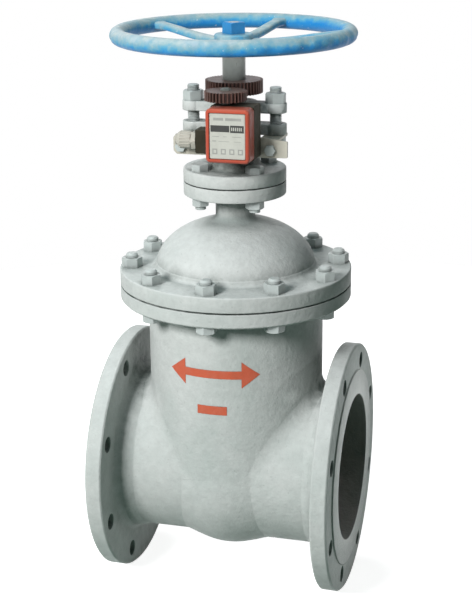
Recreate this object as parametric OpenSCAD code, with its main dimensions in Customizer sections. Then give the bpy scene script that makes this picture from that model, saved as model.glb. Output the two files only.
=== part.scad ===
/* [Pipe flanges] */
// Length between the two raised faces
face_to_face = 330; // [310:1:350]
// Width of a pipe flange outside its neck
flange_rim = 61; // [58:0.5:66]
// Thickness of a pipe flange behind its raised face
flange_t = 22; // [20:1:26]
// Distance of the bolt circle from the flange edge
bolt_edge = 22.5; // [21:0.5:24]
// Distance of the raised face from the bolt circle
raised_edge = 13.5; // [12:0.5:15]
// Height of the raised face
raised_h = 2; // [1:0.5:3]
// Diameter of the pipe bolt holes
bolt_hole_d = 22; // [20:0.5:23]
// Number of pipe bolt holes
bolt_count = 8; // [4:4:12]
// Diameter of the flow bore
bore_d = 200; // [190:1:202]

/* [Body casting] */
// Wall thickness of the pipe necks
neck_wall = 9; // [8:0.5:11]
// Step from the necks to the upright chamber
chamber_step = 9; // [8:0.5:11]
// Wall thickness of the upright chamber
chamber_wall = 10; // [8:0.5:11]
// Step from the necks to the belly round the gate
belly_step = 10; // [9.5:0.5:12]
// Drop of the belly's axis under the pipe's
belly_drop = 3; // [1:0.5:4]
// Half width of the belly along the pipe
belly_w = 62; // [60:1:66]
// Fullness of the belly's wave, lower is rounder
belly_power = 0.6; // [0.45:0.05:0.7]
// Half width of the gate pocket
pocket_w = 36; // [35:0.5:38]

/* [Bonnet joint] */
// Width of the two joined flanges outside the chamber
joint_rim = 37.5; // [36:0.5:40]
// Underside of the body's top flange above the bore axis
joint_z = 238; // [236:0.5:240]
// Thickness of the body's top flange
body_flange_t = 19; // [17:0.5:22]
// Thickness of the gasket
gasket_t = 2; // [1:0.5:3]
// Thickness of the bonnet flange
bonnet_flange_t = 20; // [18:0.5:22]
// Distance of the bonnet bolts from the flange edge
joint_bolt_edge = 16.5; // [15:0.5:18]
// Number of bonnet bolts
joint_bolts = 10; // [8:2:12]
// Diameter of the bonnet bolts
joint_bolt_d = 16; // [14:1:17]

/* [Bonnet] */
// Step from the chamber in to the dome's foot
dome_step = 11; // [9:0.5:12]
// Height of the dome above its flange
dome_h = 66; // [64:0.5:72]
// Wall thickness of the dome
dome_wall = 10; // [8:0.5:11]
// Outside radius of the bonnet's throat
throat_r = 26; // [25:0.5:28]
// Underside of the throat flange above the bore axis
throat_z = 378; // [374:0.5:384]
// Radius of the throat flange and of the stuffing box foot
foot_r = 68; // [66:0.5:70]
// Thickness of the throat flange
throat_flange_t = 17; // [16:0.5:19]
// Thickness of the stuffing box foot
foot_t = 17; // [15:0.5:19]
// Distance of the foot bolts from the foot's edge
foot_bolt_edge = 16; // [15:0.5:17]
// Diameter of the foot bolts
foot_bolt_d = 14; // [12:1:15]

/* [Stuffing box and gland] */
// Radius of the stuffing box column
column_r = 33; // [31:0.5:35]
// Underside of the lugs above the foot
lug_rise = 45; // [42:0.5:48]
// Thickness of the lugs
lug_t = 14; // [12:0.5:16]
// Half distance between the gland studs
stud_x = 55.5; // [54:0.5:58]
// Diameter of the gland studs
stud_d = 16; // [14:1:17]
// Radius of the rounded ears on lugs and gland
ear_r = 14.5; // [13:0.5:16]
// Gap between the lugs and the gland
gland_gap = 14; // [12:0.5:18]
// Radius of the gland's nose
nose_r = 22.8; // [21:0.1:24]
// Length of the nose inside the stuffing box
nose_h = 20; // [16:0.5:24]
// Thickness of the gland flange
gland_t = 13; // [11:0.5:14]

/* [Stem and gate] */
// Diameter of the stem above its collar
stem_d = 30; // [28:0.5:31]
// Diameter of the stem's threaded length
thread_d = 32; // [30:0.5:33]
// Clearance round the stem
stem_clear = 0.15; // [0.1:0.05:0.3]
// Radius of the stem's thrust collar
collar_r = 24; // [22:0.5:26]
// Thickness of the thrust collar
collar_t = 8.5; // [7:0.5:10]
// Width of the square under the handwheel
square_w = 16; // [14:0.5:17]
// Overlap of the gate disc past the bore
gate_lap = 3; // [2:0.5:4]
// Radius of the boss on the gate
gate_boss_r = 32; // [30:0.5:34]
// Radius of the gate's screw nut
gate_nut_r = 25; // [23:0.5:27]
// Length of the gate's screw nut in its boss
gate_nut_h = 26; // [24:0.5:28]
// Half thickness of the gate disc
gate_w = 27; // [25:0.5:28]
// Height of the raised gate's lowest point over the bore
gate_clear = 3; // [2:0.5:5]

/* [Handwheel] */
// Outside radius of the handwheel rim
wheel_r = 159; // [150:0.5:165]
// Thickness of the rim
rim_d = 20.5; // [18:0.5:24]
// Height of the rim's centre above the bore axis
wheel_z = 586.5; // [580:0.5:592]
// Number of finger hollows round the rim
grip_count = 22; // [16:2:26]
// Depth of the finger hollows
grip_depth = 1.6; // [1:0.1:2.5]
// Number of spokes
spoke_count = 5; // [3:1:6]
// Turn of the first spoke from the pipe axis
spoke_turn = 7; // [0:1:71]
// Width of a spoke
spoke_w = 17; // [14:0.5:20]
// Thickness of a spoke
spoke_t = 9; // [7:0.5:11]
// Drop of the spokes from the rim to the hub
spoke_dish = 11; // [8:0.5:14]
// Height of the hub under the rim's centre
hub_h = 21; // [18:0.5:23]
// Width of the square nut on the wheel
nut_w = 21; // [20:0.5:23]
// Height of the square nut
nut_h = 14.5; // [12:0.5:16]
// Turn of the square nut
nut_turn = 50; // [0:5:90]
// Radius of the hub
hub_r = 25; // [22:0.5:28]

/* [Signal gears] */
// Module of both gears
gear_module = 1.5; // [1.4:0.05:1.55]
// Teeth of the gear on the stem
stem_teeth = 48; // [46:1:50]
// Teeth of the gear on the signal box
signal_teeth = 34; // [32:1:36]
// Underside of both gears above the bore axis
gear_z = 511; // [510:0.5:514]
// Thickness of the gear on the stem
stem_gear_t = 17; // [14:0.5:18]
// Thickness of the gear on the signal box
signal_gear_t = 12; // [10:0.5:14]
// Offset of the signal gear along the pipe
signal_x = 6; // [4:0.5:8]
// Play between the teeth on the pitch circle
gear_play = 0.3; // [0.2:0.05:0.4]

/* [Signal box] */
// Left side of the box from the stem axis
box_x0 = -10; // [-12:0.5:-8]
// Width of the box
box_w = 57; // [54:0.5:60]
// Height of the box
box_h = 68; // [64:0.5:70]
// Top of the box above the bore axis
box_top = 506; // [503:0.5:508]
// Depth of the housing behind its cover
box_depth = 33; // [31:0.5:36]
// Depth of the cover
cover_t = 24; // [20:0.5:26]
// Width of the red edge round the label
label_edge = 5; // [4:0.5:6]
// Width of the connection box at the left
side_w = 22; // [20:0.5:26]
// Wall thickness of the housing
box_wall = 4; // [3:0.5:5]
// Diameter of the signal gear's shaft
shaft_d = 10; // [9:0.5:11]
// Clearance round the signal gear's shaft
shaft_clear = 0.05; // [0.03:0.01:0.1]
// Distance of the right bracket bolt from the box
bolt_out_right = 12.5; // [11:0.5:14]
// Distance of the left bracket bolt from the connection box
bolt_out_left = 27.5; // [25:0.5:29]
// Width of the clips under the lugs
clip_w = 26; // [24:0.5:28]
// Drop of the clips below the lugs
clip_drop = 17; // [16:0.5:19]
// Diameter of the bracket bolts
clip_bolt_d = 8; // [6:0.5:9]
// Height of the back plate
plate_h = 26; // [24:0.5:28]
// Thickness of the sheet metal brackets
sheet_t = 4; // [3:0.5:5]
// Diameter of the cable gland
cable_gland_d = 24; // [22:0.5:26]
// Length of the cable gland's cap
cable_cap_l = 15; // [12:0.5:17]

/* [Hidden] */
cx = face_to_face / 2;
bore_r = bore_d / 2;
neck_r = bore_r + neck_wall;
flange_r = neck_r + flange_rim;
bolt_r = flange_r - bolt_edge;
raised_r = bolt_r - raised_edge;
chamber_r = neck_r + chamber_step;
belly_r = neck_r + belly_step;
joint_r = chamber_r + joint_rim;
joint_bolt_r = joint_r - joint_bolt_edge;
dome_r = chamber_r - dome_step;
foot_bolt_r = foot_r - foot_bolt_edge;
gate_r = bore_r + gate_lap;
gate_lift = gate_r + bore_r + gate_clear;
collar_z = throat_z + throat_flange_t - collar_t / 2;
rim_x = raised_h + flange_t;
joint_top = joint_z + body_flange_t;
bonnet_z = joint_top + gasket_t;
dome_z = bonnet_z + bonnet_flange_t;
crown_z = dome_z + dome_h;
cavity_r = chamber_r - chamber_wall;
throat_top = throat_z + throat_flange_t;
foot_z = throat_top + 1.5;
foot_top = foot_z + foot_t;
lug_z = foot_top + lug_rise;
lug_top = lug_z + lug_t;
gland_z = lug_top + gland_gap;
gland_top = gland_z + gland_t;
stem_r = stem_d / 2;
thread_r = thread_d / 2;
stud_r = stud_d / 2;
stem_pitch_r = gear_module * stem_teeth / 2;
signal_pitch_r = gear_module * signal_teeth / 2;
gear_distance = stem_pitch_r + signal_pitch_r + 0.1;
signal_y = -sqrt(gear_distance * gear_distance - signal_x * signal_x);
mesh_angle = atan2(signal_y, signal_x);
box_z = box_top - box_h;
side_d = box_depth - 9;
bolt_left = box_x0 - side_w - bolt_out_left;
bolt_right = box_x0 + box_w + bolt_out_right;
plate_bolt_z = lug_z - sheet_t - clip_drop / 2;
plate_y = -40;
box_back = plate_y - sheet_t;
box_front = box_back - box_depth;
cover_front = box_front - cover_t;
seat_in = bore_r - 4;
seat_out = bore_r + 5;
$fn = 96;

module at_stem() {
  translate([cx, 0, 0]) children();
}

module along_pipe() {
  rotate([0, 90, 0]) children();
}

// Hexagon with its edges broken by a cone, standing on the XY plane
module hexagon(across, height) {
  intersection() {
    cylinder(r = across / sqrt(3), h = height, $fn = 6);
    cylinder(r1 = across / 2 + height * 1.7, r2 = across / 2, h = height);
  }
}

// Points of a quarter fillet that leaves a flange and runs into a neck
function fillet(x, r, size) = [for (a = [0:15:90]) [r + size - size * sin(a), x + size - size * cos(a)]];

// One half of the outline of the necks and flanges, as radius and length
function neck_half() = concat([[0, 0], [raised_r, 0], [raised_r, raised_h],
  [flange_r - 2, raised_h], [flange_r, raised_h + 2], [flange_r, rim_x - 2], [flange_r - 2, rim_x]],
  fillet(rim_x, neck_r + 4, 10), [[neck_r + 3, rim_x + 16], [neck_r, rim_x + 24]]);

// Belly outline as a raised cosine along the pipe
function belly_line(foot) = [for (k = [-20:20])
  [foot + (belly_r - foot) * pow((1 + cos(9 * k)) / 2, belly_power), belly_w * k / 20]];

module neck_tube() {
  half = neck_half();
  n = len(half);
  far = [for (i = [n - 1:-1:0]) [half[i][0], face_to_face - half[i][1]]];
  along_pipe() rotate_extrude() polygon(concat(half, far));
}

module body_outside() {
  neck_tube();
  at_stem() {
    translate([0, 0, -belly_drop]) along_pipe() rotate_extrude()
      polygon(concat([[0, -belly_w]], belly_line(neck_r - 1 - belly_drop), [[0, belly_w]]));
    cylinder(r = chamber_r, h = joint_z + 1);
    rotate_extrude() polygon([[0, joint_z - 8], [chamber_r, joint_z - 8], [chamber_r + 2, joint_z - 3],
      [chamber_r + 7, joint_z], [joint_r - 2, joint_z], [joint_r, joint_z + 2], [joint_r, joint_top],
      [0, joint_top]]);
  }
}

module gate_space() {
  at_stem() {
    difference() {
      cylinder(r = cavity_r, h = joint_top + 1);
      for (s = [-1, 1]) translate([s * (pocket_w + cx), 0, 0]) along_pipe()
        cylinder(r = neck_r - 0.5, h = face_to_face, center = true);
    }
    along_pipe() cylinder(r = neck_r + 1, h = 2 * pocket_w, center = true);
  }
}

module body() {
  color([0.78, 0.80, 0.79])
  difference() {
    body_outside();
    translate([-1, 0, 0]) along_pipe() cylinder(r = bore_r, h = face_to_face + 2);
    gate_space();
    at_stem() for (s = [-1, 1]) translate([s * (pocket_w + 3.5), 0, 0]) along_pipe()
      cylinder(r = seat_out, h = 9, center = true);
    for (i = [0:bolt_count - 1]) rotate([(i + 0.5) * 360 / bolt_count, 0, 0])
      for (x = [-1, face_to_face - rim_x - 1]) translate([x, 0, bolt_r]) along_pipe()
        cylinder(d = bolt_hole_d, h = rim_x + 2);
    at_stem() for (i = [0:joint_bolts - 1]) rotate([0, 0, (i + 0.5) * 360 / joint_bolts])
      translate([joint_bolt_r, 0, joint_z - 10]) cylinder(d = joint_bolt_d + 2, h = body_flange_t + 20);
  }
}

module seat_rings() {
  color([0.72, 0.58, 0.32])
  at_stem() for (s = [-1, 1]) translate([s * (pocket_w + 1), 0, 0]) along_pipe() difference() {
    cylinder(r = seat_out - 0.05, h = 14, center = true);
    cylinder(r = seat_in, h = 20, center = true);
  }
}

module gate() {
  color([0.45, 0.47, 0.47])
  at_stem() translate([0, 0, gate_lift]) difference() {
    union() {
      along_pipe() cylinder(r = gate_r, h = 2 * gate_w, center = true);
      cylinder(r = gate_boss_r, h = gate_r + gate_nut_h - 8);
    }
    translate([0, 0, -gate_r - 1]) cylinder(r = thread_r + 4, h = 2 * gate_r + gate_nut_h);
    translate([0, 0, gate_r - 8]) cylinder(r = gate_nut_r, h = gate_nut_h + 1);
  }
}

module gate_nut() {
  color([0.72, 0.58, 0.32])
  at_stem() translate([0, 0, gate_lift + gate_r - 8]) difference() {
    union() {
      cylinder(r = gate_nut_r - 0.2, h = gate_nut_h);
      translate([0, 0, gate_nut_h]) cylinder(r = gate_nut_r + 4, h = 4);
    }
    translate([0, 0, -1]) cylinder(r = thread_r + stem_clear, h = gate_nut_h + 6);
  }
}

module bonnet_gasket() {
  color([0.12, 0.13, 0.13])
  at_stem() translate([0, 0, joint_top]) difference() {
    cylinder(r = joint_bolt_r - 11, h = gasket_t);
    translate([0, 0, -1]) cylinder(r = cavity_r, h = gasket_t + 2);
  }
}

// Dome outline of the given foot radius and height, from the foot to the crown
function dome_line(r, h, stop) = [for (a = [0:6:84]) if (r * cos(a) > stop)
  [r * cos(a), dome_z + h * sin(a)]];

module bonnet() {
  color([0.78, 0.80, 0.79])
  at_stem() difference() {
    rotate_extrude() polygon(concat([[0, bonnet_z], [joint_r, bonnet_z],
      [joint_r, dome_z - 2], [joint_r - 2, dome_z], [dome_r + 8, dome_z], [dome_r + 3, dome_z + 1.5],
      [dome_r + 0.5, dome_z + 5]],
      [for (p = dome_line(dome_r, dome_h, throat_r + 5)) if (p[1] > dome_z + 6) p],
      [[throat_r + 3.5, crown_z - 1.5], [throat_r + 1, crown_z + 0.5], [throat_r, crown_z + 4],
      [throat_r, throat_z - 6], [throat_r + 2, throat_z - 1.5], [throat_r + 6, throat_z],
      [foot_r - 1.5, throat_z], [foot_r, throat_z + 1.5], [foot_r, throat_top], [0, throat_top]]));
    rotate_extrude() polygon(concat([[0, bonnet_z - 1], [cavity_r - 8, bonnet_z - 1]],
      dome_line(dome_r - dome_wall, dome_h - dome_wall, throat_r), [[0, crown_z - dome_wall]]));
    translate([0, 0, dome_z]) cylinder(r = thread_r + stem_clear + 0.35, h = throat_top - dome_z);
    translate([0, 0, collar_z - 0.5]) cylinder(r = collar_r + 0.5, h = collar_t + 2);
    for (i = [0:joint_bolts - 1]) rotate([0, 0, (i + 0.5) * 360 / joint_bolts])
      translate([joint_bolt_r, 0, bonnet_z - 5]) cylinder(d = joint_bolt_d + 2, h = bonnet_flange_t + 20);
    for (a = [45:90:315]) rotate([0, 0, a]) translate([foot_bolt_r, 0, throat_z - 5])
      cylinder(d = foot_bolt_d + 1.5, h = throat_flange_t + 10);
  }
}

module bonnet_bolts() {
  color([0.62, 0.64, 0.64])
  at_stem() for (i = [0:joint_bolts - 1]) rotate([0, 0, (i + 0.5) * 360 / joint_bolts])
    translate([joint_bolt_r, 0, 0]) {
      translate([0, 0, joint_z - 1])
        cylinder(d = joint_bolt_d, h = dome_z - joint_z + joint_bolt_d * 0.8 + 5);
      translate([0, 0, dome_z + joint_bolt_d * 0.8 + 4])
        cylinder(r1 = joint_bolt_d / 2, r2 = joint_bolt_d / 2 - 2, h = 2);
      translate([0, 0, joint_z]) mirror([0, 0, 1]) hexagon(joint_bolt_d * 1.5, joint_bolt_d * 0.63);
    }
}

module bonnet_nuts() {
  color([0.62, 0.64, 0.64])
  at_stem() for (i = [0:joint_bolts - 1]) rotate([0, 0, (i + 0.5) * 360 / joint_bolts])
    translate([joint_bolt_r, 0, dome_z]) difference() {
      hexagon(joint_bolt_d * 1.5, joint_bolt_d * 0.8);
      translate([0, 0, -1]) cylinder(d = joint_bolt_d + 0.2, h = joint_bolt_d + 5);
    }
}

module throat_gasket() {
  color([0.12, 0.13, 0.13])
  at_stem() translate([0, 0, throat_top]) difference() {
    cylinder(r = foot_r - 2, h = foot_z - throat_top);
    translate([0, 0, -1]) cylinder(r = collar_r + 0.5, h = 5);
    for (a = [45:90:315]) rotate([0, 0, a]) translate([foot_bolt_r, 0, -1])
      cylinder(d = foot_bolt_d + 1.5, h = 5);
  }
}

// Flat bar with rounded ends and a round middle, lying along the pipe
module eared_bar(middle, height) {
  cylinder(r = middle, h = height);
  translate([-stud_x, -ear_r + 2, 0]) cube([2 * stud_x, 2 * ear_r - 4, height]);
  for (s = [-1, 1]) translate([s * stud_x, 0, 0]) cylinder(r = ear_r, h = height);
}

module stuffing_box() {
  color([0.78, 0.80, 0.79])
  at_stem() difference() {
    union() {
      rotate_extrude() polygon([[0, foot_z], [foot_r, foot_z], [foot_r, foot_top - 1.5],
        [foot_r - 1.5, foot_top], [column_r + 8, foot_top], [column_r + 3, foot_top + 2],
        [column_r, foot_top + 7], [column_r, lug_top], [0, lug_top]]);
      translate([0, 0, lug_z]) eared_bar(column_r + 1, lug_t);
    }
    translate([0, 0, foot_z - 1]) cylinder(r = stem_r + stem_clear, h = lug_top - foot_z + 2);
    translate([0, 0, collar_z]) cylinder(r = collar_r + 0.5, h = collar_t + 0.5);
    translate([0, 0, foot_top + 12]) cylinder(r = nose_r + 0.2, h = lug_top - foot_top);
    for (s = [-1, 1]) translate([s * stud_x, 0, lug_z - 1]) cylinder(d = stud_d + 0.4, h = lug_t + 2);
    for (a = [45:90:315]) rotate([0, 0, a]) translate([foot_bolt_r, 0, foot_z - 1])
      cylinder(d = foot_bolt_d + 1.5, h = foot_t + 10);
  }
}

module foot_bolts() {
  color([0.62, 0.64, 0.64])
  at_stem() for (a = [45:90:315]) rotate([0, 0, a]) translate([foot_bolt_r, 0, 0]) {
    translate([0, 0, throat_z - 16]) cylinder(d = foot_bolt_d, h = foot_top - throat_z + 17);
    translate([0, 0, foot_top]) hexagon(foot_bolt_d * 1.5, foot_bolt_d * 0.63);
  }
}

module foot_nuts() {
  color([0.62, 0.64, 0.64])
  at_stem() for (a = [45:90:315]) rotate([0, 0, a]) translate([foot_bolt_r, 0, throat_z])
    mirror([0, 0, 1]) difference() {
      hexagon(foot_bolt_d * 1.5, foot_bolt_d * 0.8);
      translate([0, 0, -1]) cylinder(d = foot_bolt_d + 0.2, h = foot_bolt_d + 5);
    }
}

module gland() {
  color([0.76, 0.79, 0.78])
  at_stem() difference() {
    union() {
      translate([0, 0, gland_z]) eared_bar(nose_r + 8, gland_t);
      translate([0, 0, lug_top - nose_h]) cylinder(r = nose_r, h = gland_gap + nose_h + 1);
    }
    translate([0, 0, lug_top - nose_h - 1])
      cylinder(r = stem_r + stem_clear, h = gland_top - lug_top + nose_h + 2);
    for (s = [-1, 1]) translate([s * stud_x, 0, gland_z - 1]) cylinder(d = stud_d + 1.5, h = gland_t + 2);
  }
}

module gland_studs() {
  color([0.58, 0.61, 0.61])
  at_stem() for (s = [-1, 1]) translate([s * stud_x, 0, lug_z - sheet_t - 16]) {
    cylinder(d = stud_d, h = gland_top + 19 - lug_z + sheet_t + 16);
    translate([0, 0, gland_top + 19 - lug_z + sheet_t + 16])
      cylinder(r1 = stud_r, r2 = stud_r - 1.5, h = 1.5);
  }
}

module gland_nuts() {
  color([0.66, 0.68, 0.68])
  at_stem() for (s = [-1, 1]) translate([s * stud_x, 0, 0]) {
    translate([0, 0, gland_top]) rotate([0, 0, 30]) difference() {
      hexagon(stud_d * 1.5, stud_d * 0.8);
      translate([0, 0, -1]) cylinder(d = stud_d + 0.2, h = 30);
    }
    translate([0, 0, lug_z - sheet_t]) mirror([0, 0, 1]) rotate([0, 0, 30]) difference() {
      hexagon(stud_d * 1.5, stud_d * 0.8);
      translate([0, 0, -1]) cylinder(d = stud_d + 0.2, h = 30);
    }
  }
}

module bracket_clip(x, bolt_x) {
  side = sign(x);
  inner = abs(x) - clip_w / 2;
  outer = max(abs(x) + clip_w / 2, abs(bolt_x) + clip_bolt_d + 1);
  difference() {
    union() {
      translate([x - clip_w / 2, plate_y, lug_z - sheet_t]) cube([clip_w, clip_w / 2 - plate_y, sheet_t]);
      translate([side > 0 ? inner : -outer, plate_y, lug_z - sheet_t - clip_drop])
        cube([outer - inner, sheet_t, clip_drop + sheet_t]);
    }
    translate([x, 0, lug_z - sheet_t - 1]) cylinder(d = stud_d + 0.4, h = sheet_t + 2);
    translate([bolt_x, plate_y - 1, plate_bolt_z]) rotate([-90, 0, 0])
      cylinder(d = clip_bolt_d + 0.4, h = sheet_t + 2);
  }
}

module bracket_clips() {
  color([0.74, 0.72, 0.66])
  at_stem() {
    bracket_clip(-stud_x, bolt_left);
    bracket_clip(stud_x, bolt_right);
  }
}

module signal_backplate() {
  low = plate_bolt_z - plate_h / 2 + 2.5;
  high = low + plate_h;
  left = bolt_left - clip_bolt_d - 2.5;
  right = bolt_right + clip_w - 4;
  color([0.77, 0.75, 0.69])
  at_stem() translate([0, plate_y, 0]) difference() {
    rotate([90, 0, 0]) linear_extrude(height = sheet_t) polygon([[left + 4, low], [left, low + 4],
      [left, high - 4], [left + 4, high], [bolt_right - 9, high], [right, high - 4], [right, low + 1],
      [bolt_right - 9, low]]);
    for (x = [bolt_left, bolt_right]) translate([x, 1, plate_bolt_z]) rotate([90, 0, 0])
      cylinder(d = clip_bolt_d + 0.4, h = sheet_t + 2);
  }
}

module bracket_bolts() {
  color([0.60, 0.60, 0.57])
  at_stem() for (x = [bolt_left, bolt_right]) translate([x, box_back, plate_bolt_z]) {
    rotate([90, 0, 0]) hexagon(clip_bolt_d * 1.63, clip_bolt_d * 0.66);
    translate([0, -1, 0]) rotate([-90, 0, 0]) cylinder(d = clip_bolt_d, h = 2 * sheet_t + clip_bolt_d + 2);
  }
}

module bracket_nuts() {
  color([0.60, 0.60, 0.57])
  at_stem() for (x = [bolt_left, bolt_right]) translate([x, plate_y + sheet_t, plate_bolt_z])
    rotate([-90, 0, 0]) difference() {
      hexagon(clip_bolt_d * 1.63, clip_bolt_d * 0.8);
      translate([0, 0, -1]) cylinder(d = clip_bolt_d + 0.2, h = clip_bolt_d * 2);
    }
}

module signal_housing() {
  color([0.22, 0.20, 0.15])
  at_stem() difference() {
    union() {
      translate([box_x0, box_front, box_z]) cube([box_w, box_depth, box_h]);
      translate([box_x0 - side_w, box_front + 4, box_z + 5]) cube([side_w + 6, side_d, 31]);
    }
    difference() {
      translate([box_x0 + box_wall, box_front - 1, box_z + box_wall])
        cube([box_w - 2 * box_wall, box_depth - box_wall + 1, box_h - 2 * box_wall]);
      translate([signal_x, signal_y, box_top - 24]) cylinder(r = 10, h = 24);
    }
    translate([box_x0 - side_w + box_wall, box_front + 4 + box_wall, box_z + 9])
      cube([side_w + 2, side_d - 2 * box_wall, 23]);
    translate([box_x0 - side_w - 2, box_front + 4 + side_d / 2, box_z + 20.5]) along_pipe()
      cylinder(d = 8.4, h = box_wall + 4);
    translate([signal_x, signal_y, box_top - 30]) cylinder(r = shaft_d / 2 + shaft_clear, h = 40);
  }
}

module signal_cover() {
  color([0.68, 0.24, 0.17])
  at_stem() translate([box_x0, cover_front, box_z]) difference() {
    cube([box_w, cover_t, box_h]);
    translate([label_edge, -1, label_edge]) cube([box_w - 2 * label_edge, 4, box_h - 2 * label_edge]);
    translate([box_wall, 3 + box_wall, box_wall])
      cube([box_w - 2 * box_wall, cover_t, box_h - 2 * box_wall]);
  }
}

module label_plate() {
  color([0.86, 0.85, 0.81])
  at_stem() translate([box_x0 + label_edge + 0.5, cover_front + 1.5, box_z + label_edge + 0.5])
    cube([box_w - 2 * label_edge - 1, 1.5, box_h - 2 * label_edge - 1]);
}

module cable_gland() {
  color([0.76, 0.74, 0.68])
  at_stem() translate([box_x0 - side_w, box_front + 4 + side_d / 2, box_z + 20.5])
    rotate([0, -90, 0]) difference() {
    union() {
      cylinder(r = cable_gland_d / 2 + 0.5, h = 7, $fn = 6);
      translate([0, 0, 7]) cylinder(d = cable_gland_d - 1, h = cable_cap_l);
      translate([0, 0, 7 + cable_cap_l]) cylinder(r1 = cable_gland_d / 2 - 0.5, r2 = cable_gland_d / 2 - 4, h = 4);
      translate([0, 0, 11 + cable_cap_l]) cylinder(d = 14, h = 3);
      translate([0, 0, -4]) cylinder(d = 8, h = 5);
    }
    translate([0, 0, -5]) cylinder(d = 5, h = 40);
  }
}

module stem() {
  square_z = wheel_z - hub_h - 2;
  color([0.60, 0.63, 0.62])
  at_stem() {
    translate([0, 0, bore_r]) cylinder(r1 = thread_r - 2, r2 = thread_r, h = 2);
    translate([0, 0, bore_r + 2]) cylinder(r = thread_r, h = collar_z - bore_r - 2);
    translate([0, 0, collar_z]) cylinder(r = collar_r, h = collar_t);
    translate([0, 0, collar_z + collar_t - 1]) cylinder(r = stem_r, h = square_z - collar_z - collar_t + 1);
    translate([-square_w / 2, -square_w / 2, square_z - 1]) cube([square_w, square_w, hub_h + 3]);
    translate([0, 0, wheel_z - 1]) cylinder(r = square_w / 2 - 1, h = nut_h + 1);
  }
}

// Half angle of a tooth at radius r, from the involute of the base circle
function inv(a) = tan(a) * 180 / PI - a;
function tooth_half(r, teeth) = let(p = gear_module * teeth / 2, b = p * cos(20))
  90 / teeth - gear_play / 4 / p * 180 / PI + inv(20) - inv(acos(min(1, b / r)));

// Outline of a spur gear with involute flanks
function gear_line(teeth) = let(p = gear_module * teeth / 2, b = p * cos(20), foot = p - 1.25 * gear_module,
  tip = p + gear_module, base = max(foot + 0.2, b), half = tooth_half(base, teeth),
  radii = [base, p - 0.45 * gear_module, p, p + 0.5 * gear_module, tip])
  [for (i = [0:teeth - 1]) each concat(
    [foot * [cos(i * 360 / teeth - half), sin(i * 360 / teeth - half)]],
    [for (k = [0:4]) let(a = i * 360 / teeth - tooth_half(radii[k], teeth)) radii[k] * [cos(a), sin(a)]],
    [for (k = [4:-1:0]) let(a = i * 360 / teeth + tooth_half(radii[k], teeth)) radii[k] * [cos(a), sin(a)]],
    [foot * [cos(i * 360 / teeth + half), sin(i * 360 / teeth + half)]])];

module stem_gear() {
  color([0.30, 0.20, 0.17])
  at_stem() translate([0, 0, gear_z]) rotate([0, 0, mesh_angle]) difference() {
    linear_extrude(height = stem_gear_t) polygon(gear_line(stem_teeth));
    translate([0, 0, -1]) cylinder(r = stem_r + 0.05, h = stem_gear_t + 2);
  }
}

module signal_gear() {
  color([0.30, 0.20, 0.17])
  at_stem() translate([signal_x, signal_y, gear_z])
    rotate([0, 0, mesh_angle + 180 + 180 / signal_teeth]) difference() {
    linear_extrude(height = signal_gear_t) polygon(gear_line(signal_teeth));
    translate([0, 0, -1]) cylinder(r = shaft_d / 2 + 0.05, h = signal_gear_t + 2);
  }
}

module signal_shaft() {
  color([0.55, 0.56, 0.55])
  at_stem() translate([signal_x, signal_y, box_top - 24]) {
    cylinder(d = shaft_d, h = gear_z + signal_gear_t + 3 - box_top + 24);
    translate([0, 0, 24.5]) cylinder(d = shaft_d + 5, h = gear_z - box_top - 0.5);
    translate([0, 0, gear_z + signal_gear_t - box_top + 24]) cylinder(d = shaft_d + 3, h = 2);
  }
}

// Edge of a spoke from hub to rim, dished by a half cosine wave
function spoke_line(off, first, last) = [for (k = [first:(last - first) / 20:last])
  let(t = k / 20, drop = spoke_dish * (1 + cos(180 * pow(t, 1.3))) / 2)
  [12 + (wheel_r - rim_d / 2 - 14) * t, off - drop]];

module handwheel() {
  rim_r = wheel_r - rim_d / 2;
  color([0.30, 0.55, 0.72])
  at_stem() translate([0, 0, wheel_z]) difference() {
    union() {
      rotate_extrude() translate([rim_r, 0]) circle(d = rim_d);
      translate([0, 0, -hub_h]) cylinder(r1 = hub_r - 2, r2 = hub_r, h = 4);
      translate([0, 0, 4 - hub_h]) cylinder(r = hub_r, h = hub_h - 4);
      for (i = [0:spoke_count - 1]) rotate([0, 0, spoke_turn + i * 360 / spoke_count]) rotate([90, 0, 0])
        linear_extrude(height = spoke_w, center = true) polygon(concat(spoke_line(spoke_t / 2, 0, 20),
          spoke_line(-spoke_t / 2, 20, 0)));
    }
    for (i = [0:grip_count - 1]) rotate([0, 0, (i + 0.5) * 360 / grip_count])
      translate([wheel_r + 15 - grip_depth, 0, -20]) cylinder(r = 15, h = 40);
    translate([-square_w / 2 - 0.1, -square_w / 2 - 0.1, -hub_h - 1])
      cube([square_w + 0.2, square_w + 0.2, hub_h + 2]);
  }
}

module wheel_nut() {
  color([0.28, 0.50, 0.66])
  at_stem() translate([0, 0, wheel_z]) rotate([0, 0, nut_turn]) difference() {
    intersection() {
      translate([-nut_w / 2, -nut_w / 2, 0]) cube([nut_w, nut_w, nut_h]);
      cylinder(r1 = nut_w * 2, r2 = nut_w / 2 + 1.5, h = nut_h);
    }
    translate([0, 0, -1]) cylinder(r = square_w / 2 - 0.9, h = nut_h + 2);
  }
}

body();
seat_rings();
gate();
gate_nut();
bonnet_gasket();
bonnet();
bonnet_bolts();
bonnet_nuts();
throat_gasket();
stuffing_box();
foot_bolts();
foot_nuts();
gland();
gland_studs();
gland_nuts();
bracket_clips();
signal_backplate();
bracket_bolts();
bracket_nuts();
signal_housing();
signal_cover();
label_plate();
cable_gland();
stem();
stem_gear();
handwheel();
wheel_nut();
signal_shaft();
signal_gear();
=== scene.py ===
import math
import bpy
import numpy as np
from mathutils import Matrix


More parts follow.
